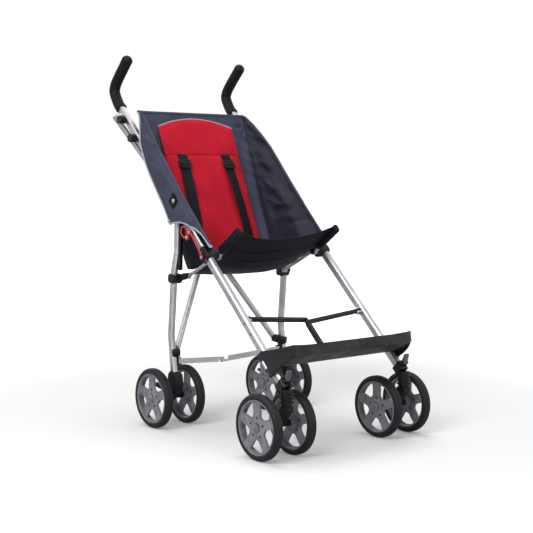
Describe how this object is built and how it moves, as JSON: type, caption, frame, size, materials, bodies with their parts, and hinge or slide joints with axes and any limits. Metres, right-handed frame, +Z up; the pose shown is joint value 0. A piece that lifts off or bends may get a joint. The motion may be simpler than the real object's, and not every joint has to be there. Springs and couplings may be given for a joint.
{
  "type": "baby stroller",
  "caption": "Folding umbrella-style push buggy with sling seat, side wings, shoulder straps, twin wheels, swivel casters, brakes and footplate.",
  "frame": {"origin": "middle of the footprint rectangle, on the floor the wheels stand on", "axes": "+Z up, -Y the way the child faces and the buggy is pushed, +X the child's left"},
  "size_m": [0.5856, 0.9184, 1.1325],
  "materials": {
    "alloy": "satin",
    "plastic": "fine texture",
    "foam": "foam skin",
    "tyre": "matte",
    "rim": "satin",
    "plate": "fine texture",
    "red_plastic": "gloss",
    "slate_fabric": "woven",
    "navy_fabric": "woven",
    "red_fabric": "padded, woven",
    "webbing": "ribbed webbing"
  },
  "bodies": {
    "right_frame": {"main_tube_r": "alloy", "grip_r": "foam", "caster_housing_r": "plastic", "seat_bracket_r": "plastic", "sling": "slate_fabric", "back_pad": "red_fabric", "shoulder_strap_l": "webbing", "shoulder_strap_r": "webbing"},
    "left_frame": {"main_tube_l": "alloy", "grip_l": "foam", "caster_housing_l": "plastic", "seat_bracket_l": "plastic"},
    "spreader_link": {"spreader_link": "plastic"},
    "front_arm_r": {"front_spreader_r": "plastic"},
    "front_arm_l": {"front_spreader_l": "plastic"},
    "footplate_r": {"footplate_r": "plate"},
    "rear_leg_r": {"rear_leg_r": "alloy", "rear_bracket_r": "plastic", "rear_hinge_r": "plastic"},
    "seat_tube_r": {"seat_tube_r": "alloy", "seat_pan": "navy_fabric"},
    "leg_runner_r": {"leg_runner_r": "plastic"},
    "rear_arm_r": {"rear_spreader_r": "alloy"},
    "cross_bar_r": {"cross_bar_r": "alloy"},
    "caster_r": {"caster_fork_r": "plastic"},
    "wheel_front_r_outer": {"tyre_front_r_outer": "tyre", "rim_front_r_outer": "rim"},
    "wheel_front_r_inner": {"tyre_front_r_inner": "tyre", "rim_front_r_inner": "rim"},
    "wheel_rear_r_outer": {"tyre_rear_r_outer": "tyre", "rim_rear_r_outer": "rim"},
    "wheel_rear_r_inner": {"tyre_rear_r_inner": "tyre", "rim_rear_r_inner": "rim"},
    "swivel_lock_r": {"swivel_lock_r": "rim"},
    "brake_pedal_r": {"brake_pedal_r": "plastic"},
    "release_lever_r": {"release_lever_r": "red_plastic"},
    "knob_upper_r": {"knob_upper_r": "plastic"},
    "knob_lower_r": {"knob_lower_r": "plastic"},
    "footplate_l": {"footplate_l": "plate"},
    "rear_leg_l": {"rear_leg_l": "alloy", "rear_bracket_l": "plastic", "rear_hinge_l": "plastic"},
    "seat_tube_l": {"seat_tube_l": "alloy"},
    "leg_runner_l": {"leg_runner_l": "plastic"},
    "rear_arm_l": {"rear_spreader_l": "alloy"},
    "cross_bar_l": {"cross_bar_l": "alloy"},
    "caster_l": {"caster_fork_l": "plastic"},
    "wheel_front_l_outer": {"tyre_front_l_outer": "tyre", "rim_front_l_outer": "rim"},
    "wheel_front_l_inner": {"tyre_front_l_inner": "tyre", "rim_front_l_inner": "rim"},
    "wheel_rear_l_outer": {"tyre_rear_l_outer": "tyre", "rim_rear_l_outer": "rim"},
    "wheel_rear_l_inner": {"tyre_rear_l_inner": "tyre", "rim_rear_l_inner": "rim"},
    "swivel_lock_l": {"swivel_lock_l": "rim"},
    "brake_pedal_l": {"brake_pedal_l": "plastic"},
    "release_lever_l": {"release_lever_l": "plastic"},
    "knob_upper_l": {"knob_upper_l": "plastic"},
    "knob_lower_l": {"knob_lower_l": "plastic"}
  },
  "joints": [
    {"name": "fold", "type": "hinge", "parent": "right_frame", "child": "front_arm_r", "pos_m": [-0.2044, -0.22384, 0.35922], "axis": [0, -0.7193, -0.6947], "range_deg": [0, 72], "deforming": ["sling", "back_pad", "seat_pan", "shoulder_strap_l", "shoulder_strap_r"]},
    {"name": "fold_middle", "type": "hinge", "parent": "front_arm_r", "child": "front_arm_l", "pos_m": [0, -0.23306, 0.33919], "axis": [0, -0.7193, -0.6947], "range_deg": [-144.01, 0]},
    {"name": "fold_left", "type": "hinge", "parent": "front_arm_l", "child": "left_frame", "pos_m": [0.2044, -0.23038, 0.3529], "axis": [0, -0.7193, -0.6947], "range_deg": [0, 72.01]},
    {"name": "link_pivot", "type": "hinge", "parent": "front_arm_r", "child": "spreader_link", "pos_m": [0, -0.23306, 0.33919], "axis": [0, -0.7193, -0.6947], "range_deg": [-72.01, 0]},
    {"name": "footplate_fold_r", "type": "hinge", "parent": "right_frame", "child": "footplate_r", "pos_m": [-0.2379, -0.3372, 0.24836], "axis": [0, -0.7193, -0.6947], "range_deg": [0, 72.01]},
    {"name": "rear_leg_pivot_r", "type": "hinge", "parent": "right_frame", "child": "rear_leg_r", "pos_m": [-0.2032, 0.11897, 0.69443], "axis": [-1, 0, 0], "range_deg": [0, 32]},
    {"name": "seat_tube_pivot_r", "type": "hinge", "parent": "right_frame", "child": "seat_tube_r", "pos_m": [-0.187, -0.0544, 0.52702], "axis": [-1, 0, 0], "range_deg": [0, 74]},
    {"name": "runner_slide_r", "type": "slide", "parent": "rear_leg_r", "child": "leg_runner_r", "axis": [0, 0.0917, -0.9958], "range_m": [0, 0.129]},
    {"name": "rear_spreader_fold_r", "type": "hinge", "parent": "rear_leg_r", "child": "rear_arm_r", "pos_m": [-0.1939, 0.13047, 0.19697], "axis": [0, 0.1277, 0.9918], "range_deg": [0, 61.5]},
    {"name": "cross_bar_pivot_r", "type": "hinge", "parent": "right_frame", "child": "cross_bar_r", "pos_m": [-0.23919, 0.4045, 0.93833], "axis": [-0.6134, 0.5443, -0.5723], "range_deg": [0, 24.8]},
    {"name": "caster_swivel_r", "type": "hinge", "parent": "right_frame", "child": "caster_r", "pos_m": [-0.2214, -0.40666, 0.14805], "axis": [0, 0, 1], "continuous": true},
    {"name": "wheel_front_r_outer_spin", "type": "hinge", "parent": "caster_r", "child": "wheel_front_r_outer", "pos_m": [-0.2793, -0.36286, 0.09], "axis": [1, 0, 0], "continuous": true},
    {"name": "wheel_front_r_inner_spin", "type": "hinge", "parent": "caster_r", "child": "wheel_front_r_inner", "pos_m": [-0.1635, -0.36286, 0.09], "axis": [1, 0, 0], "continuous": true},
    {"name": "wheel_rear_r_outer_spin", "type": "hinge", "parent": "rear_leg_r", "child": "wheel_rear_r_outer", "pos_m": [-0.2727, 0.15054, 0.09], "axis": [1, 0, 0], "continuous": true},
    {"name": "wheel_rear_r_inner_spin", "type": "hinge", "parent": "rear_leg_r", "child": "wheel_rear_r_inner", "pos_m": [-0.1569, 0.15054, 0.09], "axis": [1, 0, 0], "continuous": true},
    {"name": "swivel_lock_flip_r", "type": "hinge", "parent": "right_frame", "child": "swivel_lock_r", "pos_m": [-0.2214, -0.40985, 0.21851], "axis": [1, 0, 0], "range_deg": [0, 35]},
    {"name": "brake_press_r", "type": "hinge", "parent": "rear_leg_r", "child": "brake_pedal_r", "pos_m": [-0.2148, 0.17654, 0.11], "axis": [-1, 0, 0], "range_deg": [0, 20]},
    {"name": "release_pull_r", "type": "hinge", "parent": "right_frame", "child": "release_lever_r", "pos_m": [-0.2354, 0.01106, 0.59023], "axis": [1, 0, 0], "range_deg": [0, 15], "stiffness_Nm_per_rad": 0.3, "springref_deg": -17.19},
    {"name": "knob_upper_turn_r", "type": "hinge", "parent": "right_frame", "child": "knob_upper_r", "pos_m": [-0.2454, 0.36498, 0.932], "axis": [1, 0, 0], "range_deg": [-180, 180]},
    {"name": "knob_lower_turn_r", "type": "hinge", "parent": "right_frame", "child": "knob_lower_r", "pos_m": [-0.2454, 0.30384, 0.87296], "axis": [1, 0, 0], "range_deg": [-180, 180]},
    {"name": "footplate_fold_l", "type": "hinge", "parent": "left_frame", "child": "footplate_l", "pos_m": [0.2379, -0.3372, 0.24836], "axis": [0, 0.7193, 0.6947], "range_deg": [0, 72.01]},
    {"name": "rear_leg_pivot_l", "type": "hinge", "parent": "left_frame", "child": "rear_leg_l", "pos_m": [0.2032, 0.11897, 0.69443], "axis": [-1, 0, 0], "range_deg": [0, 32]},
    {"name": "seat_tube_pivot_l", "type": "hinge", "parent": "left_frame", "child": "seat_tube_l", "pos_m": [0.187, -0.0544, 0.52702], "axis": [-1, 0, 0], "range_deg": [0, 74]},
    {"name": "runner_slide_l", "type": "slide", "parent": "rear_leg_l", "child": "leg_runner_l", "axis": [0, 0.0917, -0.9958], "range_m": [0, 0.129]},
    {"name": "rear_spreader_fold_l", "type": "hinge", "parent": "rear_leg_l", "child": "rear_arm_l", "pos_m": [0.1939, 0.13047, 0.19697], "axis": [0, -0.1277, -0.9918], "range_deg": [0, 61.5]},
    {"name": "cross_bar_pivot_l", "type": "hinge", "parent": "left_frame", "child": "cross_bar_l", "pos_m": [0.25575, 0.4192, 0.92288], "axis": [-0.6134, -0.5443, 0.5723], "range_deg": [0, 24.8]},
    {"name": "caster_swivel_l", "type": "hinge", "parent": "left_frame", "child": "caster_l", "pos_m": [0.2214, -0.40666, 0.14805], "axis": [0, 0, 1], "continuous": true},
    {"name": "wheel_front_l_outer_spin", "type": "hinge", "parent": "caster_l", "child": "wheel_front_l_outer", "pos_m": [0.2793, -0.36286, 0.09], "axis": [1, 0, 0], "continuous": true},
    {"name": "wheel_front_l_inner_spin", "type": "hinge", "parent": "caster_l", "child": "wheel_front_l_inner", "pos_m": [0.1635, -0.36286, 0.09], "axis": [1, 0, 0], "continuous": true},
    {"name": "wheel_rear_l_outer_spin", "type": "hinge", "parent": "rear_leg_l", "child": "wheel_rear_l_outer", "pos_m": [0.2727, 0.15054, 0.09], "axis": [1, 0, 0], "continuous": true},
    {"name": "wheel_rear_l_inner_spin", "type": "hinge", "parent": "rear_leg_l", "child": "wheel_rear_l_inner", "pos_m": [0.1569, 0.15054, 0.09], "axis": [1, 0, 0], "continuous": true},
    {"name": "swivel_lock_flip_l", "type": "hinge", "parent": "left_frame", "child": "swivel_lock_l", "pos_m": [0.2214, -0.40985, 0.21851], "axis": [1, 0, 0], "range_deg": [0, 35]},
    {"name": "brake_press_l", "type": "hinge", "parent": "rear_leg_l", "child": "brake_pedal_l", "pos_m": [0.2148, 0.17654, 0.11], "axis": [-1, 0, 0], "range_deg": [0, 20]},
    {"name": "release_pull_l", "type": "hinge", "parent": "left_frame", "child": "release_lever_l", "pos_m": [0.2354, 0.01106, 0.59023], "axis": [1, 0, 0], "range_deg": [0, 15], "stiffness_Nm_per_rad": 0.3, "springref_deg": -17.19},
    {"name": "knob_upper_turn_l", "type": "hinge", "parent": "left_frame", "child": "knob_upper_l", "pos_m": [0.2454, 0.36498, 0.932], "axis": [1, 0, 0], "range_deg": [-180, 180]},
    {"name": "knob_lower_turn_l", "type": "hinge", "parent": "left_frame", "child": "knob_lower_l", "pos_m": [0.2454, 0.30384, 0.87296], "axis": [1, 0, 0], "range_deg": [-180, 180]}
  ],
  "couplings": [
    {"joint": "fold_middle", "follows": "fold", "ratio": -2},
    {"joint": "fold_left", "follows": "fold", "ratio": 1},
    {"joint": "link_pivot", "follows": "fold", "ratio": -1},
    {"joint": "footplate_fold_r", "follows": "fold", "ratio": 1},
    {"joint": "rear_leg_pivot_r", "follows": "fold", "ratio": 0.444},
    {"joint": "seat_tube_pivot_r", "follows": "fold", "ratio": 1.0228},
    {"joint": "runner_slide_r", "follows": "fold", "m_per_rad": 0.1018},
    {"joint": "rear_spreader_fold_r", "follows": "fold", "ratio": 0.827},
    {"joint": "cross_bar_pivot_r", "follows": "fold", "ratio": 0.343},
    {"joint": "footplate_fold_l", "follows": "fold", "ratio": 1},
    {"joint": "rear_leg_pivot_l", "follows": "fold", "ratio": 0.444},
    {"joint": "seat_tube_pivot_l", "follows": "fold", "ratio": 1.0228},
    {"joint": "runner_slide_l", "follows": "fold", "m_per_rad": 0.1018},
    {"joint": "rear_spreader_fold_l", "follows": "fold", "ratio": 0.827},
    {"joint": "cross_bar_pivot_l", "follows": "fold", "ratio": 0.343}
  ]
}
